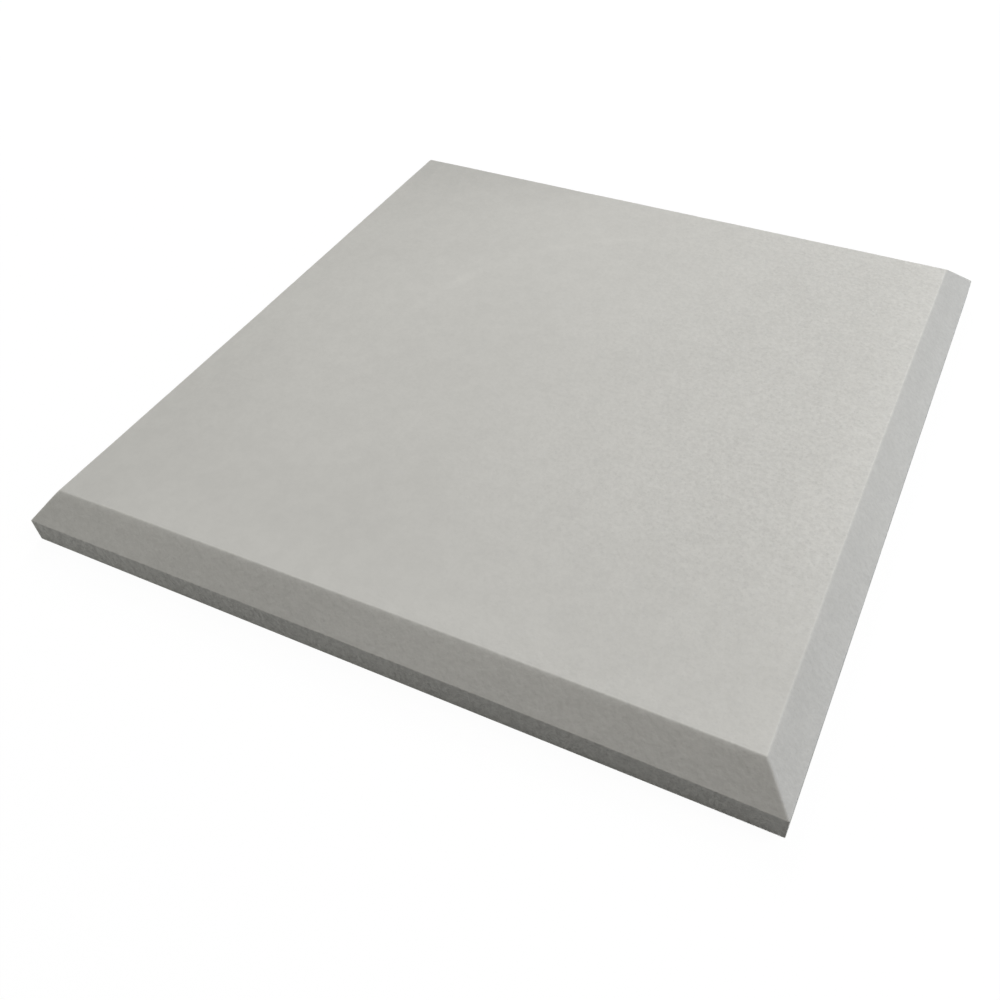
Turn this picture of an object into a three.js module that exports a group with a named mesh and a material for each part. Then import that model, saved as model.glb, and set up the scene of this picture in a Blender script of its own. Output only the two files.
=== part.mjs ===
// A self-adhesive acoustic foam tile, lying on its back as it does out of the box.
//
// From the back up it is two halves of release liner, a full sheet of double-sided adhesive
// film and one block of light grey open-cell foam. The foam has straight sides, then a bevel
// all round, then a flat face. The liner is slit down the middle of the back, and each half
// peels outward from the slit.
//
// Millimetres. +Z points out of the face, towards the room. -Y is the front edge and +X the
// right edge. The origin is the middle of the back, on the surface that the tile lies on.

import * as THREE from 'three';

// Driving dimensions of the tile
const tileWidth = 300;
const tileDepth = 300;
const foamThickness = 21;
const bevelInset = 11.4;
const bevelDrop = 11.05;

// Sheets laminated to the back
const filmThickness = 0.125;
const linerThickness = 0.125;
const linerSlit = 0.3;

// Corner radii in plan: of the sawn block and its sheets, and of the face inside the bevel
const blockCornerRadius = 0.4;
const faceCornerRadius = 0.6;

// How far the foam rounds over to each side of its two cut edges
const rimSoftening = 0.25;
const faceSoftening = 0.35;

// Wander of the cuts. Foam gives way to the blade in the middle of a long cut, so the front
// rim rises there, and the front and right edges of the face draw inward.
const frontRimRise = 1.6;
const frontFaceDraw = 0.1;
const rightFaceDraw = 0.8;

// Facets along one side, round one corner and over one softened edge
const sideSteps = 12;
const cornerSteps = 3;
const softeningSteps = 3;

// Finishes
const foamGrey = new THREE.MeshStandardMaterial({ color: 0xc0bfba, roughness: 1, metalness: 0 });
const filmClear = new THREE.MeshStandardMaterial({ color: 0xe4e1d6, roughness: 0.25, metalness: 0 });
const linerWhite = new THREE.MeshStandardMaterial({ color: 0xf0eee8, roughness: 0.45, metalness: 0 });

// Levels up through the tile, each from the one below it
const filmLevel = linerThickness;
const foamLevel = filmLevel + filmThickness;
const rimHeight = foamThickness - bevelDrop;

// The four sides in turn, anticlockwise seen from above. Each runs along one axis and faces
// out along another, and says how its cuts wander.
const sides = [
  { out: [0, -1], along: [1, 0], rimRise: frontRimRise, faceDraw: frontFaceDraw },
  { out: [1, 0], along: [0, 1], rimRise: 0, faceDraw: rightFaceDraw },
  { out: [0, 1], along: [-1, 0], rimRise: 0, faceDraw: 0 },
  { out: [-1, 0], along: [0, -1], rimRise: 0, faceDraw: 0 },
];

// The foam's edge in section, from its foot to its face. x is how far in from the side it
// lies and y its height over the foot. Each point says which cut it belongs to.
function edgeSection() {
  const bevel = new THREE.Vector2(bevelInset, bevelDrop).normalize();
  const rim = new THREE.Vector2(0, rimHeight);
  const face = new THREE.Vector2(bevelInset, foamThickness);
  const overRim = new THREE.QuadraticBezierCurve(
    new THREE.Vector2(0, rimHeight - rimSoftening),
    rim,
    rim.clone().addScaledVector(bevel, rimSoftening),
  );
  const overFace = new THREE.QuadraticBezierCurve(
    face.clone().addScaledVector(bevel, -faceSoftening),
    face,
    new THREE.Vector2(bevelInset + faceSoftening, foamThickness),
  );
  return [
    { at: new THREE.Vector2(0, 0), cut: 'foot' },
    ...overRim.getPoints(softeningSteps).map((at) => ({ at, cut: 'rim' })),
    ...overFace.getPoints(softeningSteps).map((at) => ({ at, cut: 'face' })),
  ];
}

// One ring of points round the tile at one point of the section. The corner radius grows
// from the block's to the face's with the height over the rim, and a cut's wander is
// greatest in the middle of its side and nothing at the ends.
function ringRound({ at, cut }) {
  const climb = Math.max(0, at.y - rimHeight) / bevelDrop;
  const radius = THREE.MathUtils.lerp(blockCornerRadius, faceCornerRadius, climb);
  const half = [tileWidth / 2 - at.x, tileDepth / 2 - at.x];
  const ring = [];
  for (const side of sides) {
    const reach = Math.abs(side.out[0]) * half[0] + Math.abs(side.out[1]) * half[1];
    const run = Math.abs(side.along[0]) * half[0] + Math.abs(side.along[1]) * half[1] - radius;
    const place = (out, along, height) => new THREE.Vector3(
      side.out[0] * out + side.along[0] * along,
      side.out[1] * out + side.along[1] * along,
      height,
    );
    for (let step = 0; step <= sideSteps; step += 1) {
      const share = 2 * step / sideSteps - 1;
      const middle = 1 - share * share;
      const rise = cut === 'rim' ? side.rimRise * middle : 0;
      const draw = cut === 'face' ? side.faceDraw * middle : 0;
      ring.push(place(reach - draw, run * share, at.y + rise));
    }
    for (let step = 1; step < cornerSteps; step += 1) {
      const turn = (Math.PI / 2) * step / cornerSteps;
      ring.push(place(
        reach - radius + radius * Math.cos(turn),
        run + radius * Math.sin(turn),
        at.y,
      ));
    }
  }
  return ring;
}

// A closed skin over a stack of rings, with a flat cap fanned from its middle at each end
function loftRings(rings) {
  const count = rings[0].length;
  const points = rings.flat();
  const foot = points.push(new THREE.Vector3(0, 0, rings[0][0].z)) - 1;
  const top = points.push(new THREE.Vector3(0, 0, rings[rings.length - 1][0].z)) - 1;
  const lastRing = (rings.length - 1) * count;
  const faces = [];
  for (let level = 0; level < lastRing; level += count) {
    for (let here = 0; here < count; here += 1) {
      const next = (here + 1) % count;
      faces.push(level + here, level + next, level + count + next);
      faces.push(level + here, level + count + next, level + count + here);
    }
  }
  for (let here = 0; here < count; here += 1) {
    const next = (here + 1) % count;
    faces.push(foot, next, here);
    faces.push(top, lastRing + here, lastRing + next);
  }
  const skin = new THREE.BufferGeometry().setFromPoints(points);
  skin.setIndex(faces);
  skin.computeVertexNormals();
  return skin;
}

// A flat sheet from x0 to x1 over the tile's whole depth. A corner that falls on the tile's
// corner is rounded with the block, and one on the slit is square.
function sheetShape(x0, x1) {
  const halfDepth = tileDepth / 2;
  const leftRadius = x0 <= -tileWidth / 2 ? blockCornerRadius : 0;
  const rightRadius = x1 >= tileWidth / 2 ? blockCornerRadius : 0;
  const outline = new THREE.Shape();
  outline.moveTo(x0 + leftRadius, -halfDepth);
  outline.lineTo(x1 - rightRadius, -halfDepth);
  if (rightRadius) {
    outline.absarc(x1 - rightRadius, -halfDepth + rightRadius, rightRadius, -Math.PI / 2, 0);
    outline.lineTo(x1, halfDepth - rightRadius);
    outline.absarc(x1 - rightRadius, halfDepth - rightRadius, rightRadius, 0, Math.PI / 2);
  } else {
    outline.lineTo(x1, halfDepth);
  }
  outline.lineTo(x0 + leftRadius, halfDepth);
  if (leftRadius) {
    outline.absarc(x0 + leftRadius, halfDepth - leftRadius, leftRadius, Math.PI / 2, Math.PI);
    outline.lineTo(x0, -halfDepth + leftRadius);
    outline.absarc(x0 + leftRadius, -halfDepth + leftRadius, leftRadius, Math.PI, 1.5 * Math.PI);
  }
  return outline;
}

function sheetGeometry(x0, x1, thickness) {
  return new THREE.ExtrudeGeometry(sheetShape(x0, x1), {
    depth: thickness,
    bevelEnabled: false,
    curveSegments: cornerSteps,
  });
}

function namedMesh(name, geometry, material, level) {
  const mesh = new THREE.Mesh(geometry, material);
  mesh.name = name;
  mesh.position.z = level;
  return mesh;
}

const tile = new THREE.Group();
tile.name = 'acoustic_foam_panel';

// The block of foam: bevelled round its face, softened along both cuts
tile.add(namedMesh('foam_panel', loftRings(edgeSection().map(ringRound)), foamGrey, foamLevel));

// The double-sided film over the whole back
const halfWidth = tileWidth / 2;
const film = sheetGeometry(-halfWidth, halfWidth, filmThickness);
tile.add(namedMesh('adhesive_film', film, filmClear, filmLevel));

// The two halves of the liner, on either side of the slit
const leftLiner = sheetGeometry(-halfWidth, -linerSlit / 2, linerThickness);
const rightLiner = sheetGeometry(linerSlit / 2, halfWidth, linerThickness);
tile.add(namedMesh('release_liner_left', leftLiner, linerWhite, 0));
tile.add(namedMesh('release_liner_right', rightLiner, linerWhite, 0));

export default tile;
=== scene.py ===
# %% [markdown]
# # An acoustic foam tile
#
# The object is a square of light grey open-cell foam for the wall of a room or booth: straight
# sides, a bevel all round and a flat face. Its back is laminated with a sheet of double-sided
# adhesive film, and a release liner in two halves covers the film. This lesson builds the block
# of foam with Geometry Nodes, gives the sheets their finishes, and photographs the tile.
#
# The imported CAD model is the frame for everything. It says where each piece is, so the first
# step is to load it and to keep its box, which is printed again at the end.

# %% Load the imported model
import math

import bmesh
import bpy
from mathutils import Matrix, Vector


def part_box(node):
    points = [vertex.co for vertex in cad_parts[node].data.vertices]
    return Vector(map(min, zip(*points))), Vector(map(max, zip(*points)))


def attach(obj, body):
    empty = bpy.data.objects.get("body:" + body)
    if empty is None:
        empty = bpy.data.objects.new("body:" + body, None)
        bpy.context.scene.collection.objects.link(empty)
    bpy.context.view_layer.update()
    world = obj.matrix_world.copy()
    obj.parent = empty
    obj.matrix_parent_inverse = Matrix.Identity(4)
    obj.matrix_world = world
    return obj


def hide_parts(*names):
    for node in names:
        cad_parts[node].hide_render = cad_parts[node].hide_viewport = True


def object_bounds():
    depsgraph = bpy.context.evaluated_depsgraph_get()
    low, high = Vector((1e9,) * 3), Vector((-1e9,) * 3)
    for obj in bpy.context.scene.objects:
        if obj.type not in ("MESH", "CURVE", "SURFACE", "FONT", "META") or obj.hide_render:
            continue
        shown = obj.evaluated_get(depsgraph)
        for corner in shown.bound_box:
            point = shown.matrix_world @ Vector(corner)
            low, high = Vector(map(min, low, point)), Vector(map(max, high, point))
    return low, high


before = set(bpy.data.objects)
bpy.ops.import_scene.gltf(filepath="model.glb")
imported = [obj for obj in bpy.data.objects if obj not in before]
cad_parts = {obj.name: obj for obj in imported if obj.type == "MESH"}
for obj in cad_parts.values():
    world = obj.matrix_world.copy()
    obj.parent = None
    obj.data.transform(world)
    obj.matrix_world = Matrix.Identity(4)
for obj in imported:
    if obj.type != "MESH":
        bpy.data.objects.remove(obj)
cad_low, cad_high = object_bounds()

print("nodes", sorted(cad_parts))
print("box in mm", [round((high - low) * 1000, 2) for low, high in zip(cad_low, cad_high)])

# %% [markdown]
# ## The tile's own sizes
#
# The places come from the frame, and the sizes that a box can't tell are named here as a foam
# cutter would name them: how far the bevel goes in and down, how much the blade's edges are
# rounded over, and how far the front rim rises in its middle. They are the sizes of the CAD
# model. Shapes are in metres, and the patterns of the finishes further on are in millimetres.

# %% Sizes of the tile
MM = 0.001

foam_low, foam_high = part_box("foam_panel")
tile_half = foam_high.x

bevel_inset = 11.4 * MM
bevel_drop = 11.05 * MM
block_corner_radius = 0.4 * MM
face_corner_radius = 0.6 * MM
rim_softening = 0.25 * MM
face_softening = 0.35 * MM
front_rim_rise = 1.6 * MM

print("foam from", round(foam_low.z / MM, 3), "to", round(foam_high.z / MM, 3), "mm up")
print("bevel at", round(math.degrees(math.atan2(bevel_drop, bevel_inset)), 1), "degrees")

# %% [markdown]
# ## The camera
#
# The photograph was taken by hand from the front right, 27 degrees round and 41 degrees up. The
# tile's edges in it fix the place, the turn and the lens. It was cropped off centre, which a
# small shift of the lens repeats.

# %% Camera
camera_data = bpy.data.cameras.new("photo_camera")
camera_data.sensor_width = 36.0
camera_data.lens = 36.534
camera_data.shift_x = -0.0572
camera_data.shift_y = 0.0088
camera_data.clip_start = 0.01
camera_data.clip_end = 50.0
camera = bpy.data.objects.new("photo_camera", camera_data)
camera.location = (0.15517, -0.30027, 0.29062)
camera.rotation_euler = [math.radians(turn) for turn in (43.5490, 1.7406, 25.3088)]
bpy.context.scene.collection.objects.link(camera)
bpy.context.scene.camera = camera
print("camera", round(camera.location.length, 3), "m from the tile")

# %% [markdown]
# ## Helpers for node trees
#
# Shapes and finishes are both made of nodes here, and both kinds of tree are joined up the same
# way. `feed` joins a socket to another, or to a node's first output, or sets its value. `step`
# adds one node with its settings and inputs, and `number` and `vector` add one step of
# arithmetic each.


# %% Node helpers
def feed(tree, socket, value):
    if isinstance(value, bpy.types.Node):
        value = value.outputs[0]
    if isinstance(value, bpy.types.NodeSocket):
        tree.links.new(value, socket)
    else:
        socket.default_value = value


def step(tree, kind, inputs=(), **settings):
    node = tree.nodes.new(kind)
    for name, value in settings.items():
        setattr(node, name, value)
    for name, value in dict(inputs).items():
        feed(tree, node.inputs[name], value)
    return node


def number(tree, operation, *values):
    node = step(tree, "ShaderNodeMath", operation=operation)
    for socket, value in zip(node.inputs, values):
        feed(tree, socket, value)
    return node.outputs[0]


def vector(tree, operation, *values):
    node = step(tree, "ShaderNodeVectorMath", operation=operation)
    if operation == "SCALE":
        feed(tree, node.inputs["Scale"], values[-1])
        values = values[:-1]
    for socket, value in zip(node.inputs, values):
        feed(tree, socket, value)
    gives_number = operation in ("LENGTH", "DOT_PRODUCT")
    return node.outputs["Value" if gives_number else "Vector"]


def new_group(name, kind, inputs, outputs):
    """A node group with its sockets. Inputs and outputs are (name, socket type, first value)."""
    tree = bpy.data.node_groups.new(name, kind)
    for direction, sockets in (("INPUT", inputs), ("OUTPUT", outputs)):
        for label, socket_type, *first in sockets:
            socket = tree.interface.new_socket(label, in_out=direction, socket_type=socket_type)
            if first:
                socket.default_value = first[0]
    given = tree.nodes.new("NodeGroupInput").outputs
    return tree, given, tree.nodes.new("NodeGroupOutput").inputs


print("node helpers ready")

# %% [markdown]
# The sums that come up all the time get a word each, so that a long formula still reads as one.
# `above` and `below` make masks, which are 1 where something holds and 0 where it doesn't.
# `blend_between` runs smoothly from a first value to a last one as something crosses a range.


# %% Arithmetic in words
def add(tree, *values):
    total = values[0]
    for value in values[1:]:
        total = number(tree, "ADD", total, value)
    return total


def times(tree, *values):
    product = values[0]
    for value in values[1:]:
        product = number(tree, "MULTIPLY", product, value)
    return product


def less(tree, first, second):
    return number(tree, "SUBTRACT", first, second)


def divided(tree, first, second):
    return number(tree, "DIVIDE", first, second)


def larger(tree, first, second):
    return number(tree, "MAXIMUM", first, second)


def limit(tree, value, low=0.0, high=1.0):
    return number(tree, "MINIMUM", larger(tree, value, low), high)


def hypotenuse(tree, first, second):
    return number(tree, "SQRT", add(tree, times(tree, first, first), times(tree, second, second)))


def above(tree, value, mark):
    return number(tree, "GREATER_THAN", value, mark)


def below(tree, value, mark):
    return number(tree, "LESS_THAN", value, mark)


def apart(tree, point):
    return step(tree, "ShaderNodeSeparateXYZ", {"Vector": point}).outputs


def together(tree, x=0.0, y=0.0, z=0.0):
    return step(tree, "ShaderNodeCombineXYZ", {"X": x, "Y": y, "Z": z})


def centred(tree, noise_colour):
    """The three channels of a noise, moved so that they lie evenly about nothing."""
    return vector(tree, "SUBTRACT", noise_colour, (0.5, 0.5, 0.5))


def blend_between(tree, value, low, high, first=0.0, last=1.0):
    node = step(tree, "ShaderNodeMapRange", interpolation_type="SMOOTHSTEP")
    names = ("Value", "From Min", "From Max", "To Min", "To Max")
    for name, given in zip(names, (value, low, high, first, last)):
        feed(tree, node.inputs[name], given)
    return node.outputs["Result"]


def fading(tree, value, full, gone):
    """1 up to the full mark, 0 from the gone mark on, and a smooth fall between them."""
    return blend_between(tree, value, full, gone, 1.0, 0.0)


print("arithmetic ready")

# %% [markdown]
# ## The section of the foam's edge
#
# The block has one shape rule: the same section runs round all four sides. Walk from the middle
# of the face outwards. The walk is level to the edge of the face, goes down the bevel and then
# straight down the side. This group turns the length of that walk into how far out the point is
# and how far down it has come. Each change of direction is a soft ramp over a short length,
# because foam gives way a little under the blade and its cut edges are never sharp. The bevel
# is also crowned by up to a fifth of a millimetre, nearly all of it gained within two
# millimetres of the face, because the blade presses the foam before it cuts. The crown carries
# the bevel's top outwards, so the inset is a tenth of a millimetre more than in the CAD model,
# which brings the edge that shows back to its place.


# %% Section group: values and sockets
FLOAT = "NodeSocketFloat"
VECTOR = "NodeSocketVector"
SOCKET_FOR = {float: FLOAT, int: "NodeSocketInt", tuple: VECTOR}

crown_allowance = 0.1 * MM
section_rows = {
    "Face rows": 118,
    "Face edge rows": 4,
    "Bevel rows": 16,
    "Rim rows": 4,
    "Side rows": 8,
}
section_values = {
    "Half width": tile_half,
    "Bevel inset": bevel_inset + crown_allowance,
    "Bevel drop": bevel_drop,
    "Side height": foam_high.z - foam_low.z - bevel_drop,
    "Face softening": face_softening,
    "Rim softening": rim_softening,
    "Bevel crown": 0.25 * MM,
    "Crown length": 1.3 * MM,
    **section_rows,
}


def sockets_for(values):
    return [(name, SOCKET_FOR[type(value)]) for name, value in values.items()]


section, given, result = new_group(
    "foam_edge_section",
    "GeometryNodeTree",
    [("Row", FLOAT), *sockets_for(section_values)],
    [("Walk", FLOAT), ("Reach", FLOAT), ("Fall", FLOAT)],
)
print("the section has", len(section_values), "values")


# %% Section group: the walk
def soft_ramp(tree, past, softening):
    """Nothing before the softening, the distance past the edge after it, a curve between."""
    share = limit(tree, add(tree, divided(tree, past, softening), 1.0), 0.0, 2.0)
    curve = times(tree, share, share, times(tree, softening, 0.25))
    beyond = larger(tree, less(tree, past, softening), 0.0)
    return add(tree, curve, beyond)


inset, drop = given["Bevel inset"], given["Bevel drop"]
face_soft, rim_soft = given["Face softening"], given["Rim softening"]
slope = hypotenuse(section, inset, drop)
face_edge = less(section, given["Half width"], inset)
rim_edge = add(section, face_edge, slope)
stretches = (
    less(section, face_edge, face_soft),
    times(section, face_soft, 2.0),
    less(section, slope, add(section, face_soft, rim_soft)),
    times(section, rim_soft, 2.0),
    less(section, given["Side height"], rim_soft),
)
walk, rows_before = 0.0, 0.0
for rows_name, length in zip(section_rows, stretches):
    rows_in = less(section, given["Row"], rows_before)
    share = limit(section, divided(section, rows_in, given[rows_name]))
    walk = add(section, walk, times(section, share, length))
    rows_before = add(section, rows_before, given[rows_name])
print("the walk has", len(stretches), "stretches")

# %% [markdown]
# The walk becomes a reach and a fall. Past each edge it loses some reach and gains some fall,
# by the direction of the next stretch. The crown is then added square to the bevel: it rises
# fast from the face's edge and sinks evenly to nothing at the rim.

# %% Section group: reach, fall and crown
past_face = soft_ramp(section, less(section, walk, face_edge), face_soft)
past_rim = soft_ramp(section, less(section, walk, rim_edge), rim_soft)
outward = divided(section, inset, slope)
downward = divided(section, drop, slope)
lost_at_face = times(section, less(section, 1.0, outward), past_face)
lost_reach = add(section, lost_at_face, times(section, outward, past_rim))
fall_at_rim = times(section, less(section, 1.0, downward), past_rim)
fall = add(section, times(section, downward, past_face), fall_at_rim)

past_edge = larger(section, less(section, walk, face_edge), 0.0)
past_edge = number(section, "MINIMUM", past_edge, slope)
lengths_past = divided(section, past_edge, times(section, given["Crown length"], -1.0))
left_to_rise = number(section, "EXPONENT", lengths_past)
to_rim = less(section, 1.0, divided(section, past_edge, slope))
crown = times(section, less(section, 1.0, left_to_rise), to_rim, given["Bevel crown"])
reach = add(section, less(section, walk, lost_reach), times(section, crown, downward))
feed(section, result["Walk"], walk)
feed(section, result["Reach"], reach)
feed(section, result["Fall"], less(section, fall, times(section, crown, outward)))
print("section group has", len(section.nodes), "nodes")

# %% [markdown]
# ## The block of foam
#
# A cube with a bevel modifier would have ruler-straight edges and corners all alike. Here a flat
# grid is the start. Its rows lie close together over each softened edge, and further apart down
# the bevel and across the face. Each point takes its reach across and along from the section,
# and its height from whichever of the two has come down further, which makes the mitre at each
# corner by itself. The squares are split in two first, each the way the mitre of its own quarter
# runs, so that a mitre is a line of edges.
#
# Then the long cuts stray a little. Last come the small things that tell foam from plastic: a
# wander in every cut, a face that isn't quite flat, and the roughness of cut cells.

# %% Foam block tree: values
block_values = {
    **section_values,
    "Top level": foam_high.z,
    "Block corner radius": block_corner_radius,
    "Face corner radius": face_corner_radius,
    "Front rim rise": front_rim_rise,
    "Front rim skew": 0.4,
    "Back right rim rise": 0.7 * MM,
    "Front face draw": 0.75 * MM,
    "Right face draw": 0.58 * MM,
    "Left face draw": 0.48 * MM,
    "Draw fade": 25.0 * MM,
    "Front left stray": (-1.29 * MM, -0.86 * MM, 0.0),
    "Front right stray": (-0.27 * MM, 0.07 * MM, 0.0),
    "Back right stray": (-0.40 * MM, -0.29 * MM, 0.0),
    "Back left stray": (0.26 * MM, 0.48 * MM, 0.0),
    "Right face fall": 0.5 * MM,
    "Fall reach": 16.0 * MM,
    "Cut wander": 0.12 * MM,
    "Cut wander length": 22.0 * MM,
    "Face swell": 0.10 * MM,
    "Face swell length": 55.0 * MM,
    "Cell roughness": 0.03 * MM,
    "Cell size": 2.5 * MM,
    "Foot taper": 0.0002,
    "Seed": 7.0,
}
block, size, made = new_group(
    "foam_block",
    "GeometryNodeTree",
    [*sockets_for(block_values), ("Material", "NodeSocketMaterial")],
    [("Geometry", "NodeSocketGeometry")],
)
print("the block's tree has", len(block_values), "values and a material")

# %% Foam block tree: grid and section
rows = add(block, *(size[name] for name in section_rows))
grid_count = add(block, times(block, rows, 2.0), 1.0)
counts = {"Vertices X": grid_count, "Vertices Y": grid_count}
grid = step(block, "GeometryNodeMeshGrid", {"Size X": 2.0, "Size Y": 2.0, **counts})
place = apart(block, step(block, "GeometryNodeInputPosition"))
same_way = above(block, times(block, place["X"], place["Y"]), 0.0)
in_two = "GeometryNodeTriangulate"
halved = step(block, in_two, {"Mesh": grid, "Selection": same_way}, quad_method="FIXED")
along_mitres = step(block, in_two, {"Mesh": halved}, quad_method="FIXED_ALTERNATE")


def one_way(axis):
    """Side of the middle, row, walk, reach and fall of a point along one axis of the grid."""
    row = number(block, "ROUND", times(block, number(block, "ABSOLUTE", place[axis]), rows))
    node = step(block, "GeometryNodeGroup", {"Row": row}, node_tree=section)
    for name in section_values:
        feed(block, node.inputs[name], size[name])
    walked = (node.outputs[name] for name in ("Walk", "Reach", "Fall"))
    return number(block, "SIGN", place[axis]), row, *walked


side_x, row_x, walk_x, reach_x, fall_x = one_way("X")
side_y, row_y, walk_y, reach_y, fall_y = one_way("Y")
print("the grid has", 2 * sum(section_rows.values()) + 1, "points to a side")

# %% [markdown]
# Now the plan corners are rounded. Each square ring of points keeps its size, and what lies
# beyond a corner's centre is pulled on to a circle about it.

# %% Foam block tree: plan corners and heights
furthest_fall = larger(block, fall_x, fall_y)
height = less(block, size["Top level"], furthest_fall)
bevel_share = divided(block, furthest_fall, size["Bevel drop"])
climb = limit(block, less(block, 1.0, bevel_share))
ring = larger(block, reach_x, reach_y)
radius_growth = less(block, size["Face corner radius"], size["Block corner radius"])
radius = add(block, size["Block corner radius"], times(block, radius_growth, climb))
radius = number(block, "MINIMUM", radius, ring)
corner = less(block, ring, radius)
beyond_x = larger(block, less(block, reach_x, corner), 0.0)
beyond_y = larger(block, less(block, reach_y, corner), 0.0)
pull = divided(block, radius, hypotenuse(block, beyond_x, beyond_y))
round_x = add(block, number(block, "MINIMUM", reach_x, corner), times(block, beyond_x, pull))
round_y = add(block, number(block, "MINIMUM", reach_y, corner), times(block, beyond_y, pull))
print("corners round from", block_corner_radius / MM, "to", face_corner_radius / MM, "mm")

# %% [markdown]
# Foam gives way to the blade, so the stray of a long cut is greatest in the middle of its side.
# The rim's rise in front, and a smaller one at the back right corner, are spread down the side
# and up the bevel. The face's draw fades out across the face, so that nothing creases. Along the
# right edge the face also falls away by half a millimetre, where the blade pressed it down.

# %% Foam block tree: stray of the long cuts
share_x = limit(block, divided(block, round_x, corner))
share_y = limit(block, divided(block, round_y, corner))
middle_x = less(block, 1.0, times(block, share_x, share_x))
middle_y = less(block, 1.0, times(block, share_y, share_y))
signed_x, signed_y = times(block, side_x, share_x), times(block, side_y, share_y)
to_front = above(block, add(block, row_y, 0.5), row_x)
to_the_side = above(block, add(block, row_x, 0.5), row_y)
in_front = times(block, below(block, side_y, -0.5), to_front)
at_right = times(block, above(block, side_x, 0.5), to_the_side)
at_left = times(block, below(block, side_x, -0.5), to_the_side)

whole_fall = add(block, size["Bevel drop"], size["Side height"])
side_share = divided(block, less(block, whole_fall, furthest_fall), size["Side height"])
rim_share = limit(block, number(block, "MINIMUM", side_share, bevel_share))
skew = add(block, 1.0, times(block, size["Front rim skew"], signed_x))
front_rise = times(block, size["Front rim rise"], middle_x, skew, in_front)
to_back_right = (add(block, 1.0, signed_x), add(block, 1.0, signed_y))
corner_rise = times(block, size["Back right rim rise"], 0.25, *to_back_right)
rise = times(block, add(block, front_rise, corner_rise), rim_share)

furthest_walk = larger(block, walk_x, walk_y)
face_half = less(block, size["Half width"], size["Bevel inset"])
into_face = divided(block, less(block, face_half, furthest_walk), size["Draw fade"])
face_share = times(block, climb, fading(block, into_face, 0.0, 1.0))
draw_y = times(block, size["Front face draw"], middle_x, face_share, in_front)
right_draw = times(block, size["Right face draw"], at_right)
left_draw = times(block, size["Left face draw"], at_left)
draw_x = times(block, add(block, right_draw, left_draw), middle_y, face_share)

from_edge = divided(block, less(block, face_half, walk_x), size["Fall reach"])
from_fall = limit(block, less(block, 1.0, from_edge))
right_half = above(block, side_x, 0.5)
face_fall = times(
    block, size["Right face fall"], from_fall, from_fall, middle_y, climb, right_half
)
shaped = together(
    block,
    times(block, side_x, less(block, round_x, draw_x)),
    times(block, side_y, less(block, round_y, draw_y)),
    less(block, add(block, height, rise), face_fall),
)
print("front rim rises", front_rim_rise / MM, "mm in its middle")

# %% [markdown]
# Each corner of the face has a small stray of its own in plan. It is blended over the face from
# corner to corner, and down the bevel to nothing.

# %% Foam block tree: strays of the face's corners
face_corners = (
    ("Front left stray", -1.0, -1.0),
    ("Front right stray", 1.0, -1.0),
    ("Back right stray", 1.0, 1.0),
    ("Back left stray", -1.0, 1.0),
)
for name, to_right, to_back in face_corners:
    near_x = add(block, 1.0, times(block, to_right, signed_x))
    near_y = add(block, 1.0, times(block, to_back, signed_y))
    nearness = times(block, near_x, near_y, 0.25, climb)
    shaped = vector(block, "ADD", shaped, vector(block, "SCALE", size[name], nearness))
print(len(face_corners), "corners stray, each by itself")

# %% [markdown]
# Each cut edge has a thin pale line, which is a painted highlight: the light that a softened edge
# catches. The pale line is thinner than the gap between two rows of points, so what is
# stored on the mesh is each point's distance from the face's edge, from the rim and from the
# mitre. Between points a distance is still right, and the foam's finish makes its line from it.
# On the face a whole metre is added to the last one, because no mitre runs there.

# %% Foam block tree: distances from the edges
weld_distance = 0.002 * MM

bevel_walk = hypotenuse(block, size["Bevel inset"], size["Bevel drop"])
rim_walk = add(block, face_half, bevel_walk)
still_on_face = less(block, 1.0, above(block, furthest_walk, face_half))
from_edges = together(
    block,
    less(block, furthest_walk, face_half),
    less(block, furthest_walk, rim_walk),
    add(block, less(block, reach_x, reach_y), still_on_face),
)
kept = {"Geometry": along_mitres, "Name": "edge_distance", "Value": from_edges}
with_distances = step(block, "GeometryNodeStoreNamedAttribute", kept, data_type="FLOAT_VECTOR")


def moved(geometry, **where):
    return step(block, "GeometryNodeSetPosition", {"Geometry": geometry, **where})


def welded(geometry):
    to_weld = {"Geometry": geometry, "Distance": weld_distance}
    return step(block, "GeometryNodeMergeByDistance", to_weld)


top_and_sides = welded(moved(with_distances, Position=shaped))
print("distances from the edges are stored on the mesh")

# %% [markdown]
# Under the corners the grid's rows have all met in one upright line, and the weld above makes
# them one. The open foot is then closed with a flat fill, turned to face down, and welded on.
# Every edge sharper than 40 degrees is then marked as crisp, and the rest is shaded smooth.

# %% Foam block tree: foot and crisp edges
crisp_angle = math.radians(40)

foot_level = less(block, size["Top level"], whole_fall)
faces_met = step(block, "GeometryNodeInputMeshEdgeNeighbors")
open_edge = step(
    block, "FunctionNodeCompare", {"A": faces_met, "B": 1}, data_type="INT", operation="EQUAL"
)
foot_line = step(block, "GeometryNodeMeshToCurve", {"Mesh": top_and_sides, "Selection": open_edge})
foot_fill = step(block, "GeometryNodeFillCurve", {"Curve": foot_line}, mode="TRIANGLES")
foot_down = step(block, "GeometryNodeFlipFaces", {"Mesh": foot_fill})
foot = moved(foot_down, Offset=together(block, z=foot_level))
joined = step(block, "GeometryNodeJoinGeometry")
for half in (top_and_sides, foot):
    feed(block, joined.inputs[0], half)
smooth = step(block, "GeometryNodeSetShadeSmooth", {"Geometry": welded(joined)}, domain="FACE")
sharp = above(block, step(block, "GeometryNodeInputMeshEdgeAngle"), crisp_angle)
to_mark = {"Geometry": smooth, "Selection": sharp, "Shade Smooth": False}
crisp = step(block, "GeometryNodeSetShadeSmooth", to_mark, domain="EDGE")
print("foot is closed with a flat fill")

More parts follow.
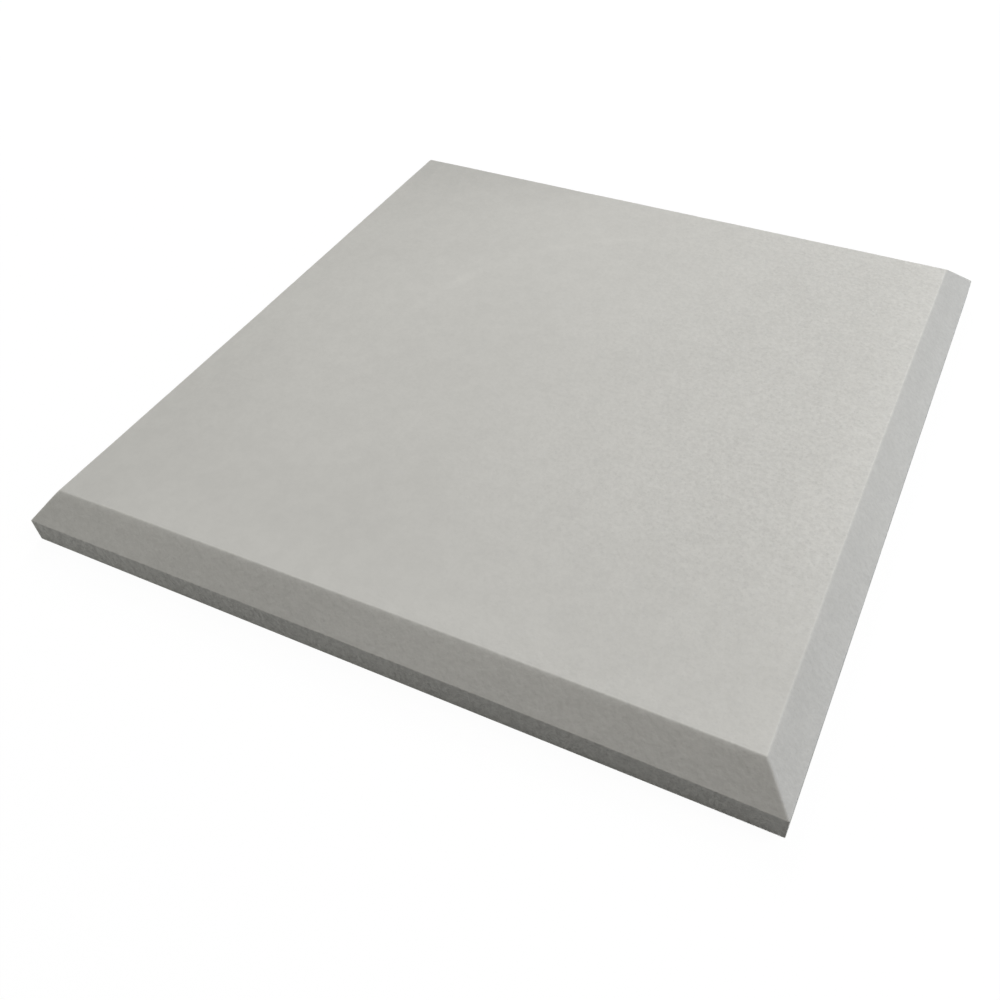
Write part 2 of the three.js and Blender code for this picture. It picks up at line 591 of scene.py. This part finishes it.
# %% [markdown]
# The last steps move every point a little. Three sizes of movement lie over each other: a slow
# swell of the face over centimetres, a wander of the cuts over a centimetre or two, and the
# cells' own roughness. They fade out over the lowest two millimetres, because the film is
# laminated to the foot. The foot is only drawn in by a few hundredths of a millimetre, which
# leaves room for a liner half that lies turned over beside it.

# %% Foam block tree: wander, swell and cells
foot_fade = 2.0 * MM
here = step(block, "GeometryNodeInputPosition")
over_foot = blend_between(block, less(block, apart(block, here)["Z"], foot_level), 0.0, foot_fade)


def noise_of_size(length, detail):
    inputs = {"Vector": here, "W": size["Seed"], "Detail": detail}
    inputs["Scale"] = divided(block, 1.0, length)
    return step(block, "ShaderNodeTexNoise", inputs, noise_dimensions="4D").outputs


def stray_up_to(most, noise):
    """A stray of up to the most either way from a noise, and none at the foot."""
    return times(block, less(block, noise, 0.5), most, 2.0, over_foot)


wander_noise = centred(block, noise_of_size(size["Cut wander length"], 1.0)["Color"])
wander_strength = times(block, size["Cut wander"], 2.0, over_foot)
wander = vector(block, "SCALE", wander_noise, wander_strength)
swell = stray_up_to(size["Face swell"], noise_of_size(size["Face swell length"], 0.0)[0])
cell_push = stray_up_to(size["Cell roughness"], noise_of_size(size["Cell size"], 0.0)[0])
cells = vector(block, "SCALE", step(block, "GeometryNodeInputNormal"), cell_push)
to_the_middle = vector(block, "MULTIPLY", here, (-1.0, -1.0, 0.0))
foot_draw = times(block, size["Foot taper"], less(block, 1.0, over_foot))
taper = vector(block, "SCALE", to_the_middle, foot_draw)
offset = wander
for more in (together(block, z=swell), cells, taper):
    offset = vector(block, "ADD", offset, more)
real = step(block, "GeometryNodeRealizeInstances", {"Geometry": moved(crisp, Offset=offset)})
to_finish = {"Geometry": real, "Material": size["Material"]}
feed(block, made["Geometry"], step(block, "GeometryNodeSetMaterial", to_finish))
print("block tree has", len(block.nodes), "nodes")

# %% [markdown]
# ## Finishes: what the materials share
#
# Every finish here is drawn in millimetres on the object's own coordinates, so that a pore stays
# a pore at any size of picture. Three effects are used by more than one material, so each is a
# node group with its own inputs: the open cells of the foam, which also press through the film,
# the slow cloudiness that any sheet or block has, and the fibres of paper and tissue.


# %% Shared finish: open cells
def random_numbers(tree, voronoi):
    """The three random numbers that each cell of a Voronoi texture has."""
    return step(tree, "ShaderNodeSeparateColor", {"Color": voronoi.outputs["Color"]}).outputs


open_cells, cell_in, cell_out = new_group(
    "open_cells",
    "ShaderNodeTree",
    [("Vector", VECTOR), ("Cell size", FLOAT, 0.8), ("Wall share", FLOAT, 0.2)],
    [("Pore", FLOAT), ("Wall", FLOAT), ("Shade", FLOAT)],
)
cell_scale = divided(open_cells, 1.0, cell_in["Cell size"])
straight = {"Vector": cell_in["Vector"], "Scale": cell_scale, "Detail": 1.0}
bend = step(open_cells, "ShaderNodeTexNoise", straight).outputs["Color"]
bend_strength = times(open_cells, cell_in["Cell size"], 0.7)
bend_by = vector(open_cells, "SCALE", centred(open_cells, bend), bend_strength)
bent = {"Vector": vector(open_cells, "ADD", cell_in["Vector"], bend_by), "Scale": cell_scale}
cell_walls = step(open_cells, "ShaderNodeTexVoronoi", bent, feature="DISTANCE_TO_EDGE")
cell_random = step(open_cells, "ShaderNodeTexVoronoi", bent, feature="F1")
random_cell = random_numbers(open_cells, cell_random)
wall_share, from_wall = cell_in["Wall share"], cell_walls.outputs["Distance"]
pore_edge = add(open_cells, wall_share, 0.25)
pore = blend_between(open_cells, from_wall, wall_share, pore_edge)
openness = blend_between(open_cells, random_cell[0], 0.15, 0.9)
feed(open_cells, cell_out["Pore"], times(open_cells, pore, openness))
feed(open_cells, cell_out["Wall"], fading(open_cells, from_wall, 0.0, wall_share))
feed(open_cells, cell_out["Shade"], random_cell[1])
print("open cells group has", len(open_cells.nodes), "nodes")

# %% Shared finish: cloudiness
cloud, cloud_in, cloud_out = new_group(
    "cloudiness",
    "ShaderNodeTree",
    [("Vector", VECTOR), ("Size", FLOAT, 40.0), ("Detail", FLOAT, 2.0)],
    [("Cloud", FLOAT)],
)
cloud_scale = divided(cloud, 1.0, cloud_in["Size"])
sized = {"Vector": cloud_in["Vector"], "Scale": cloud_scale, "Detail": cloud_in["Detail"]}
cloud_noise = step(cloud, "ShaderNodeTexNoise", sized)
feed(cloud, cloud_out["Cloud"], blend_between(cloud, cloud_noise, 0.3, 0.7, -1.0, 1.0))
print("cloudiness group has", len(cloud.nodes), "nodes")

# %% Shared finish: fibres
fibres, fibre_in, fibre_out = new_group(
    "fibres",
    "ShaderNodeTree",
    [("Vector", VECTOR), ("Length", FLOAT, 3.0), ("Width", FLOAT, 0.2)],
    [("Fibre", FLOAT)],
)
per_length = divided(fibres, 1.0, fibre_in["Length"])
per_width = divided(fibres, 1.0, fibre_in["Width"])
drawn_out = together(fibres, per_length, per_width)
fibre_directions = (12, 57, 101, 148)
strongest = 0.0
for turn in fibre_directions:
    turning = {"Vector": fibre_in["Vector"], "Rotation": (0.0, 0.0, math.radians(turn))}
    turned = step(fibres, "ShaderNodeMapping", turning)
    lying = {"Vector": vector(fibres, "MULTIPLY", turned, drawn_out), "Scale": 1.0, "Detail": 1.0}
    strand = step(fibres, "ShaderNodeTexNoise", lying)
    strongest = larger(fibres, strongest, blend_between(fibres, strand, 0.56, 0.72))
feed(fibres, fibre_out["Fibre"], strongest)
print("fibres group has", len(fibres.nodes), "nodes")

# %% [markdown]
# ## The foam's finish
#
# Light grey polyurethane foam, cut by a blade. Up close it is a net of cell walls round small
# dark pores, and from a step back it is an even matt grey with a fine grain. Two sizes of cells
# and three sizes of cloudiness lie over each other, because one alone would look drawn.


# %% Foam material: cells and clouds
def new_material(name):
    material = bpy.data.materials.new(name)
    material.use_nodes = True
    tree = material.node_tree
    shader = tree.nodes["Principled BSDF"]
    coordinates = step(tree, "ShaderNodeTexCoord")
    in_mm = vector(tree, "SCALE", coordinates.outputs["Object"], 1.0 / MM)
    return material, tree, shader, in_mm


def use(tree, group, **inputs):
    named = {name.replace("_", " "): value for name, value in inputs.items()}
    return step(tree, "ShaderNodeGroup", named, node_tree=group).outputs


def clouds(tree, in_mm, size, detail):
    return use(tree, cloud, Vector=in_mm, Size=size, Detail=detail)["Cloud"]


def weighted(tree, parts, start=0.0):
    """The sum of masks, each times its strength."""
    return add(tree, start, *(times(tree, mask, strength) for mask, strength in parts))


foam_material, tree, foam_shader, in_mm = new_material("foam_grey")
cells_seen = use(tree, open_cells, Vector=in_mm, Cell_size=1.0, Wall_share=0.12)
fine_cells = use(tree, open_cells, Vector=in_mm, Cell_size=0.45, Wall_share=0.12)
wide_cloud = clouds(tree, in_mm, 45.0, 2.0)
blotches = clouds(tree, in_mm, 6.0, 2.0)
mottle = clouds(tree, in_mm, 2.1, 1.5)
print("foam finish starts with", len(tree.nodes), "nodes")

# %% [markdown]
# A hand or a box has left one long faint arc on the face. It is a ring about a centre on the
# face, of which only the part that lies towards the back left shows, and it comes and goes in
# patches. The back left corner is painted a little greyer than the rest, as painted shade.

# %% Foam material: the faint arc and the painted shade at the back left corner
arc_centre = (46.0, -5.0, 0.0)
arc_radius = 122.5
arc_width = 4.5
arc_direction = (-0.791, 0.612, 0.0)
back_left_corner = (-150.0, 150.0, 0.0)


def from_a_centre(tree, point, centre):
    """The distance in plan of a point from a centre, and the direction to it."""
    away = vector(tree, "SUBTRACT", point, centre)
    away = vector(tree, "MULTIPLY", away, (1.0, 1.0, 0.0))
    return vector(tree, "LENGTH", away), vector(tree, "NORMALIZE", away)


from_centre, towards = from_a_centre(tree, in_mm, arc_centre)
off_arc = number(tree, "ABSOLUTE", less(tree, from_centre, arc_radius))
arc_line = fading(tree, off_arc, 0.0, arc_width)
arc_span = blend_between(tree, vector(tree, "DOT_PRODUCT", towards, arc_direction), 0.80, 0.92)
arc_patches = clouds(tree, in_mm, 14.0, 1.0)
patchiness = add(tree, 1.0, times(tree, arc_patches, 0.3))
arc_mark = times(tree, arc_line, arc_span, patchiness)

from_corner, _ = from_a_centre(tree, in_mm, back_left_corner)
# Painted shade: the back left corner is darkened where the lamps' light falls off.
back_left_painted_shade = fading(tree, from_corner, 10.0, 140.0)
print("the arc has a radius of", arc_radius, "mm")

# %% [markdown]
# The distances that the mesh carries say which cut a place belongs to: it is on the face before
# the face's edge, on the side past the rim, and on a bevel between the two. They also give the
# thin painted highlight along each cut edge, which fades out towards the back left.

# %% Foam material: the cuts and the painted highlights on their edges
highlight_start = 0.1
highlight_reach = 0.8

across, along, _ = apart(tree, in_mm)
distances = step(tree, "ShaderNodeAttribute", attribute_name="edge_distance")
edges_off = apart(tree, distances.outputs["Vector"])
# Painted highlight: a thin pale line along each cut edge, strongest towards the front right.
painted_edge_highlight = 0.0
for distance in edges_off:
    off_edge = number(tree, "ABSOLUTE", divided(tree, distance, MM))
    painted_edge_highlight = larger(tree, painted_edge_highlight, fading(tree, off_edge, highlight_start, highlight_reach))
highlight_to_front_right = blend_between(tree, less(tree, across, along), -90.0, 30.0)
painted_edge_highlight = times(tree, painted_edge_highlight, highlight_to_front_right)

on_face = below(tree, edges_off[0], 0.0)
on_side = above(tree, edges_off[1], 0.0)
on_bevel = less(tree, less(tree, 1.0, on_face), on_side)
faces_across = above(tree, edges_off[2], 0.0)
faces_right = times(tree, faces_across, above(tree, across, 0.0))
faces_front = times(tree, less(tree, 1.0, faces_across), below(tree, along, 0.0))
right_bevel = times(tree, on_bevel, faces_right)
front_bevel = times(tree, on_bevel, faces_front)
print("the pale lines reach", highlight_reach, "mm from their edges")

# %% [markdown]
# The margins of the face and parts of the bevels are a few percent lighter or darker than the
# rest. This is painted light and shade: it stands in for lamps that reach or fall off across the
# tile, and for light that the floor throws back on the lower right bevel. Each is a mask that runs
# smoothly over a range in millimetres across the tile, along it, or both.

# %% Foam material: painted light and shade at the margins
# Painted shade along the face's left margin, where the lamps' light falls off.
left_painted_shade = times(tree, fading(tree, across, -142.0, -70.0), on_face)
near_front = fading(tree, along, -138.0, -112.0)
off_left = blend_between(tree, across, -135.0, -60.0)
# Painted light along the face's front margin.
front_painted_light = times(tree, near_front, on_face, off_left)
near_back = blend_between(tree, along, 100.0, 140.0)
# Painted shade at the back of the face towards the left, where the lamps' light falls off.
back_painted_shade = times(tree, near_back, on_face, fading(tree, across, -70.0, -10.0))
near_right = blend_between(tree, across, 105.0, 139.0)
less_in_front = blend_between(tree, along, -110.0, 0.0, 0.35, 1.0)
# Painted light along the face's right margin, where the right-hand light is strongest.
right_painted_light = times(tree, near_right, on_face, less_in_front)
down_bevel = blend_between(tree, edges_off[0], 2.0 * MM, 16.0 * MM)
# Painted light down the right bevel, for the light that the floor throws back on it.
right_bevel_painted_bounce = times(tree, right_bevel, down_bevel)
# Painted light on the left end of the front bevel, where the fill lamp reaches.
front_bevel_left_painted_light = times(tree, front_bevel, fading(tree, across, -140.0, -20.0))
print("with its marks and margins the finish has", len(tree.nodes), "nodes")

# %% [markdown]
# The pores darken the foam a little and dent it a little, and some cells are paler than their
# neighbours. The sides were sawn and have the coarsest grain, the bevels were cut by a sharp
# blade, and over the face the grain grows from left to right and from the front edge inwards.
# The masks each shift the grey by a small share. There is no gloss: nearly all the light comes
# back scattered.

# %% Foam material: grain, colour and relief
side_grain = 2.8
bevel_grain = 0.95
foam_colour = (0.515, 0.510, 0.480)


def chosen(tree, mask, if_one, if_none):
    """One value where the mask is 1 and another where it is 0."""
    node = step(tree, "ShaderNodeMix", data_type="FLOAT")
    for index, value in ((0, mask), (2, if_none), (3, if_one)):
        feed(tree, node.inputs[index], value)
    return node.outputs[0]


def finish(tree, shader, colour, change, height, strength, depth, roughness):
    """Brightens the colour by the change, a share, and adds a relief and a roughness."""
    bump = {"Height": height, "Strength": strength, "Distance": depth}
    brightened = vector(tree, "SCALE", colour, add(tree, 1.0, change))
    feed(tree, shader.inputs["Base Color"], brightened)
    feed(tree, shader.inputs["Normal"], step(tree, "ShaderNodeBump", bump))
    feed(tree, shader.inputs["Roughness"], roughness)


more_to_the_right = blend_between(tree, across, -40.0, 115.0, 0.5, 1.7)
less_at_the_front = blend_between(tree, along, -130.0, -40.0, 0.42, 1.0)
face_grain = times(tree, more_to_the_right, less_at_the_front)
grain_off_face = chosen(tree, on_side, side_grain, bevel_grain)
grain_strength = chosen(tree, on_face, face_grain, grain_off_face)
grain_parts = (
    (cells_seen["Pore"], -0.035),
    (fine_cells["Pore"], -0.015),
    (cells_seen["Wall"], 0.015),
    (less(tree, cells_seen["Shade"], 0.5), 0.045),
    (mottle, 0.018),
)
grain = weighted(tree, grain_parts, 0.0075)
# The clouds, blotches and arc are the foam's own tone; the other entries are painted light and
# shade.
slow_changes = (
    (wide_cloud, 0.012),
    (blotches, 0.016),
    (arc_mark, 0.030),
    (back_left_painted_shade, -0.06),
    (left_painted_shade, -0.04),
    (right_painted_light, 0.06),
    (front_painted_light, 0.028),
    (back_painted_shade, -0.06),
    # painted shade: the whole right bevel is darkened
    (right_bevel, -0.02),
    (right_bevel_painted_bounce, 0.035),
    # painted shade: the whole front bevel is darkened
    (front_bevel, -0.022),
    (front_bevel_left_painted_light, 0.085),
    (painted_edge_highlight, 0.07),
)
foam_change = weighted(tree, slow_changes, times(tree, grain, grain_strength))
relief_parts = ((cells_seen["Pore"], -0.4), (fine_cells["Pore"], -0.15), (mottle, 1.1))
relief = times(tree, weighted(tree, relief_parts), grain_strength)
finish(
    tree, foam_shader, foam_colour, foam_change,
    height=relief, strength=0.5, depth=0.05 * MM, roughness=0.95,
)
foam_shader.inputs["Specular IOR Level"].default_value = 0.25
print("foam finish has", len(tree.nodes), "nodes")

# %% [markdown]
# ## Building the block
#
# The tree is put on an empty mesh as a modifier, its inputs are set by their identifiers, and
# the result is copied off as a plain mesh. What comes out is counted and measured: there should
# be no open edge and no loose point, and a volume close to the real block's.


# %% Build the foam block
def grow(name, tree, values):
    """Runs a geometry tree on an empty mesh and returns its result as a plain mesh object."""
    seed_object = bpy.data.objects.new(name + "_seed", bpy.data.meshes.new(name + "_seed"))
    bpy.context.scene.collection.objects.link(seed_object)
    modifier = seed_object.modifiers.new(name, "NODES")
    modifier.node_group = tree
    for item in tree.interface.items_tree:
        if item.item_type == "SOCKET" and item.in_out == "INPUT":
            modifier[item.identifier] = values[item.name]
    shown = seed_object.evaluated_get(bpy.context.evaluated_depsgraph_get())
    mesh = bpy.data.meshes.new_from_object(shown)
    mesh.name = name
    # The grid brings an empty material slot, which comes before the one that is used
    if mesh.materials[0] is None:
        mesh.materials.pop(index=0)
    bpy.data.objects.remove(seed_object)
    piece = bpy.data.objects.new(name, mesh)
    bpy.context.scene.collection.objects.link(piece)
    return piece


def measure(piece):
    """Triangles, open edges, loose points and volume in cubic centimetres."""
    shell = bmesh.new()
    shell.from_mesh(piece.data)
    triangles = sum(len(face.verts) - 2 for face in shell.faces)
    open_edges = sum(1 for edge in shell.edges if len(edge.link_faces) != 2)
    loose = sum(1 for point in shell.verts if not point.link_faces)
    cm3 = round(shell.calc_volume(signed=True) * 1e6, 1)
    shell.free()
    return {"triangles": triangles, "open edges": open_edges, "loose": loose, "cm3": cm3}


foam_block = grow("foam_block", block, {**block_values, "Material": foam_material})
print("foam block", measure(foam_block))
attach(foam_block, "tile")
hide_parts("foam_panel")

# %% [markdown]
# ## The adhesive film
#
# Double-sided film is a tissue with a coat of adhesive on both sides. Laid on foam it is a
# cream grey sheet with a wet gloss. The cells of the foam press through it, the tissue's fibres
# show as fine pale threads, and air is caught in small blisters. The blade that slit the liner
# has scored it down the middle, and its cut edges are darkened as painted shade at the foot of
# the tile. The CAD sheet is the right shape already, so only its finish is made here.


# %% Film material
def upward(tree):
    """How far up the surface faces, from -1 to 1."""
    return apart(tree, step(tree, "ShaderNodeTexCoord").outputs["Normal"])["Z"]


def cut_edges(tree):
    """1 on the upright faces of a sheet, which are its cut edges, and 0 on its flat sides."""
    return below(tree, number(tree, "ABSOLUTE", upward(tree)), 0.5)


def near_slit(tree, in_mm, width):
    """1 on the slit down the middle of the back, fading to 0 at a distance in millimetres."""
    return fading(tree, number(tree, "ABSOLUTE", apart(tree, in_mm)["X"]), 0.0, width)


film_colour = (0.66, 0.63, 0.53)
blister_spacing = 13.0
largest_blister = 0.22

film_material, tree, film_shader, in_mm = new_material("adhesive_cream")
film_pores = use(tree, open_cells, Vector=in_mm, Cell_size=1.1, Wall_share=0.15)["Pore"]
film_fibres = use(tree, fibres, Vector=in_mm, Length=8.0, Width=0.4)["Fibre"]
film_cloud = clouds(tree, in_mm, 9.0, 3.0)
spread = {"Vector": in_mm, "Scale": 1.0 / blister_spacing}
blister = step(tree, "ShaderNodeTexVoronoi", spread, feature="F1")
mostly_small = number(tree, "POWER", random_numbers(tree, blister)[0], 4.0)
blister_edge = times(tree, mostly_small, largest_blister)
blister_top = times(tree, blister_edge, 0.7)
blister_mask = fading(tree, blister.outputs["Distance"], blister_top, blister_edge)
scored = near_slit(tree, in_mm, 0.5)
film_changes = (
    (film_pores, -0.16),
    (film_fibres, 0.10),
    (film_cloud, 0.02),
    (blister_mask, 0.10),
    (scored, -0.12),
    # painted shade: the film's cut edges at the foot are darkened
    (cut_edges(tree), -0.7),
)
film_reliefs = ((film_pores, -0.5), (film_fibres, 0.35), (blister_mask, 1.0), (scored, -0.6))
finish(
    tree, film_shader, film_colour, weighted(tree, film_changes),
    height=weighted(tree, film_reliefs), strength=0.6, depth=0.12 * MM,
    roughness=weighted(tree, ((film_fibres, 0.14), (film_pores, 0.08)), 0.24),
)


def dress(node_name, material):
    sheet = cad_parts[node_name]
    sheet.data.materials.clear()
    sheet.data.materials.append(material)


dress("adhesive_film", film_material)
print("film finish has", len(tree.nodes), "nodes")

# %% [markdown]
# ## The release liner
#
# Siliconed paper in two halves, slit down the middle of the back so that a finger can start the
# peel. It is plain and white, a little warm. It shows the fine streaks of the paper mill along
# the web, a few fibres, ripples where damp got in and a few creases from handling. The side that
# lay on the adhesive has the smooth shine of its silicone, and the outer side is drier.


# %% Liner material
def stretched(tree, in_mm, wide, long):
    """Coordinates in which a pattern of size 1 is so wide across the tile and so long along."""
    return vector(tree, "MULTIPLY", in_mm, (1.0 / wide, 1.0 / long, 0.0))


liner_colour = (0.76, 0.735, 0.675)
crease_spacing = 85.0
crease_level = 0.47
crease_width = 0.006

liner_material, tree, liner_shader, in_mm = new_material("liner_white")
liner_fibres = use(tree, fibres, Vector=in_mm, Length=3.0, Width=0.25)["Fibre"]
liner_cloud = clouds(tree, in_mm, 5.0, 4.0)
streaks = clouds(tree, stretched(tree, in_mm, 1.6, 110.0), 1.0, 3.0)
ripples = clouds(tree, stretched(tree, in_mm, 16.0, 70.0), 1.0, 1.0)
slow = {"Vector": in_mm, "Scale": 1.0 / crease_spacing, "Detail": 0.5}
bends = step(tree, "ShaderNodeTexNoise", slow)
off_bend = number(tree, "ABSOLUTE", less(tree, bends, crease_level))
crease_line = fading(tree, off_bend, 0.0, crease_width)
crease_patches = clouds(tree, in_mm, 30.0, 0.0)
# The creases are bumps in the relief, and in the colour a painted shade along them.
creases = times(tree, crease_line, blend_between(tree, crease_patches, 0.2, 0.8))
siliconed = above(tree, upward(tree), 0.5)
liner_changes = (
    (liner_fibres, -0.04),
    (liner_cloud, 0.012),
    (streaks, 0.014),
    # painted shade along the creases
    (creases, -0.025),
    (siliconed, -0.03),
    # painted shade in the slit between the two halves
    (near_slit(tree, in_mm, 1.2), -0.10),
    # painted shade: the liner's cut edges are darkened
    (cut_edges(tree), -0.6),
)
liner_reliefs = ((liner_fibres, 0.03), (streaks, 0.02), (ripples, 0.6), (creases, 0.4))
finish(
    tree, liner_shader, liner_colour, weighted(tree, liner_changes),
    height=weighted(tree, liner_reliefs), strength=0.6, depth=0.5 * MM,
    roughness=weighted(tree, ((siliconed, -0.2), (liner_fibres, 0.08)), 0.55),
)
liner_names = ("release_liner_left", "release_liner_right")
for name in liner_names:
    dress(name, liner_material)
print("liner finish has", len(tree.nodes), "nodes")

# %% [markdown]
# ## Floor and backdrop
#
# The picture's ground is plain white. The floor looks white to the camera and to anything that
# reflects it, while the light that it throws back on the foam is that of a mid-grey table, or
# the foam's sides would be too bright. Most of its white is a glow of its own and a little is
# paint that the lamps light, so the tile keeps a faint shadow. Together they come to just 1,
# because a brighter ground would eat into the tile's outline. Further off, where the lamps no
# longer reach, the glow alone is 1, so no horizon shows. From underneath the floor isn't there
# at all, so that the back can be looked at. The world beyond it is made the same way.


# %% Floor material
def plain_grey(level):
    return (level, level, level, 1.0)


def seen_directly(tree):
    """1 where the camera, a reflection or glass looks, and 0 for light that scatters."""
    path = step(tree, "ShaderNodeLightPath").outputs
    seen = larger(tree, path["Is Camera Ray"], path["Is Glossy Ray"])
    return larger(tree, seen, path["Is Transmission Ray"])


def mixed(tree, share, first, second):
    """The first shader where the share is 0 and the second where it is 1."""
    node = step(tree, "ShaderNodeMixShader")
    for socket, source in zip(node.inputs, (share, first, second)):
        feed(tree, socket, source)
    return node


paint_white = 0.04
glow_near_tile = 0.965

floor_material = bpy.data.materials.new("floor_white")
floor_material.use_nodes = True
tree = floor_material.node_tree
tree.nodes.clear()
white_paint = step(tree, "ShaderNodeBsdfDiffuse", {"Color": plain_grey(paint_white)})
from_tile = vector(tree, "LENGTH", step(tree, "ShaderNodeTexCoord").outputs["Object"])
glow = blend_between(tree, from_tile, 0.3, 1.2, glow_near_tile, 1.0)
white_glow = step(tree, "ShaderNodeEmission", {"Color": plain_grey(1.0), "Strength": glow})
white_floor = step(tree, "ShaderNodeAddShader")
for socket, shader in zip(white_floor.inputs, (white_paint, white_glow)):
    feed(tree, socket, shader)
grey_floor = step(tree, "ShaderNodeBsdfDiffuse", {"Color": plain_grey(0.35)})
nothing = step(tree, "ShaderNodeBsdfTransparent")
from_above = mixed(tree, seen_directly(tree), grey_floor, white_floor)
from_below = step(tree, "ShaderNodeNewGeometry").outputs["Backfacing"]
both_sides = mixed(tree, from_below, from_above, nothing)
step(tree, "ShaderNodeOutputMaterial", {"Surface": both_sides})
print("floor finish has", len(tree.nodes), "nodes")

# %% Floor and world
floor_reach = 12.0
floor_gap = 0.02 * MM

floor_mesh = bpy.data.meshes.new("studio_floor")
corners = ((-1, -1), (1, -1), (1, 1), (-1, 1))
floor_points = [(x * floor_reach, y * floor_reach, 0.0) for x, y in corners]
floor_mesh.from_pydata(floor_points, [], [(0, 1, 2, 3)])
floor_mesh.materials.append(floor_material)
studio_floor = bpy.data.objects.new("studio_floor", floor_mesh)
studio_floor.location.z = cad_low.z - floor_gap
bpy.context.scene.collection.objects.link(studio_floor)

world = bpy.data.worlds.new("studio_world")
world.use_nodes = True
bpy.context.scene.world = world
tree = world.node_tree
tree.nodes.clear()
sky_light = step(tree, "ShaderNodeBackground", {"Color": plain_grey(1.0), "Strength": 0.12})
white_beyond = step(tree, "ShaderNodeBackground", {"Color": plain_grey(1.0), "Strength": 1.0})
either = mixed(tree, seen_directly(tree), sky_light, white_beyond)
step(tree, "ShaderNodeOutputWorld", {"Surface": either})
print("floor at", round(studio_floor.location.z / MM, 3), "mm")

# %% [markdown]
# ## Lamps
#
# The photograph has broad soft light from above, from the right and from behind the tile, so the
# face is bright, the front bevel is half as bright, and the front side is in shade. A cooler
# light from a window skims the face from the right, and a weak one fills the shade from the
# left. The power of each lamp is worked out from its distance, so that a level of 1 makes a
# surface that faces it render as bright as its colour is written.


# %% Lamps
def soft_lamp(name, place, level, tint=(1.0, 1.0, 1.0), side=0.5):
    data = bpy.data.lights.new(name, "AREA")
    data.shape = "SQUARE"
    data.size = side
    data.color = tint
    lamp = bpy.data.objects.new(name, data)
    lamp.location = place
    to_tile = -Vector(place)
    lamp.rotation_euler = to_tile.to_track_quat("-Z", "Y").to_euler()
    data.energy = level * math.pi ** 2 * to_tile.length_squared
    bpy.context.scene.collection.objects.link(lamp)
    print(name, "level", level, "power", round(data.energy, 1))
    return lamp


soft_lamp("right_lamp", (0.60, 0.10, 0.90), level=0.475, tint=(1.05, 0.995, 0.95))
soft_lamp("back_lamp", (-0.40, 0.90, 0.90), level=0.486)
soft_lamp("window_lamp", (0.95, 0.30, 0.55), level=0.213, tint=(0.81, 0.975, 1.21))
soft_lamp("fill_lamp", (-0.80, -0.45, 0.35), level=0.27, tint=(1.0, 1.01, 0.99))

# %% [markdown]
# The back of the tile is seen only from below, where the floor keeps out every other lamp. One
# lamp down there is linked to the film and the liner alone, and the floor doesn't block it.

# %% Lamp for the back
under_lamp = soft_lamp("under_lamp", (0.3, -0.4, -1.2), level=0.75, side=0.8)
back_sheets = bpy.data.collections.new("back_sheets")
shadow_makers = bpy.data.collections.new("shadow_makers")
for name in ("adhesive_film", *liner_names):
    back_sheets.objects.link(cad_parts[name])
    shadow_makers.objects.link(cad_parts[name])
shadow_makers.objects.link(foam_block)
under_lamp.light_linking.receiver_collection = back_sheets
under_lamp.light_linking.blocker_collection = shadow_makers

# %% Finish
bpy.context.scene.view_settings.view_transform = "Standard"
print("CAD box in mm", [round(value / MM, 3) for value in (*cad_low, *cad_high)])
